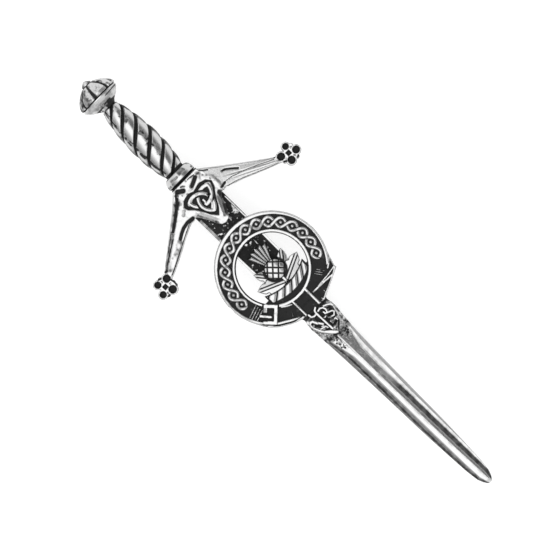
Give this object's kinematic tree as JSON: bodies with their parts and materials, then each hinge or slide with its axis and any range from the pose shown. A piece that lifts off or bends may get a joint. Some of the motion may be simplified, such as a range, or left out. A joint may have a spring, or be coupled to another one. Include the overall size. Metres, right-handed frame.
{
  "type": "kilt pin",
  "caption": "Sword-shaped metal kilt pin with a twisted grip, drooping guard, pierced strap-and-buckle badge on the blade, and a brooch fitting behind.",
  "frame": {"origin": "under the middle of the outline seen from the face, on the surface that the brooch fitting stands on", "axes": "+X across the guard to the right, +Y along the sword from the blade's tip to the pommel, +Z out of the face"},
  "size_m": [0.0378, 0.105, 0.0118],
  "materials": {
    "pewter_hilt": "polished cast pewter, black in the recesses",
    "pewter_grip": "polished cast pewter, black in the grooves",
    "pewter_guard": "polished cast pewter, black round the knot and in the holes",
    "pewter_blade": "polished cast pewter, black and pitted on its sunk ground",
    "pewter_badge": "polished raised work on a blackened ground",
    "pin_steel": "plain nickel-plated steel"
  },
  "bodies": {
    "root": {"pommel": "pewter_hilt", "grip": "pewter_grip", "collar": "pewter_hilt", "guard": "pewter_guard", "blade": "pewter_blade", "crest_badge": "pewter_badge", "brooch_pin": "pin_steel"}
  },
  "joints": []
}
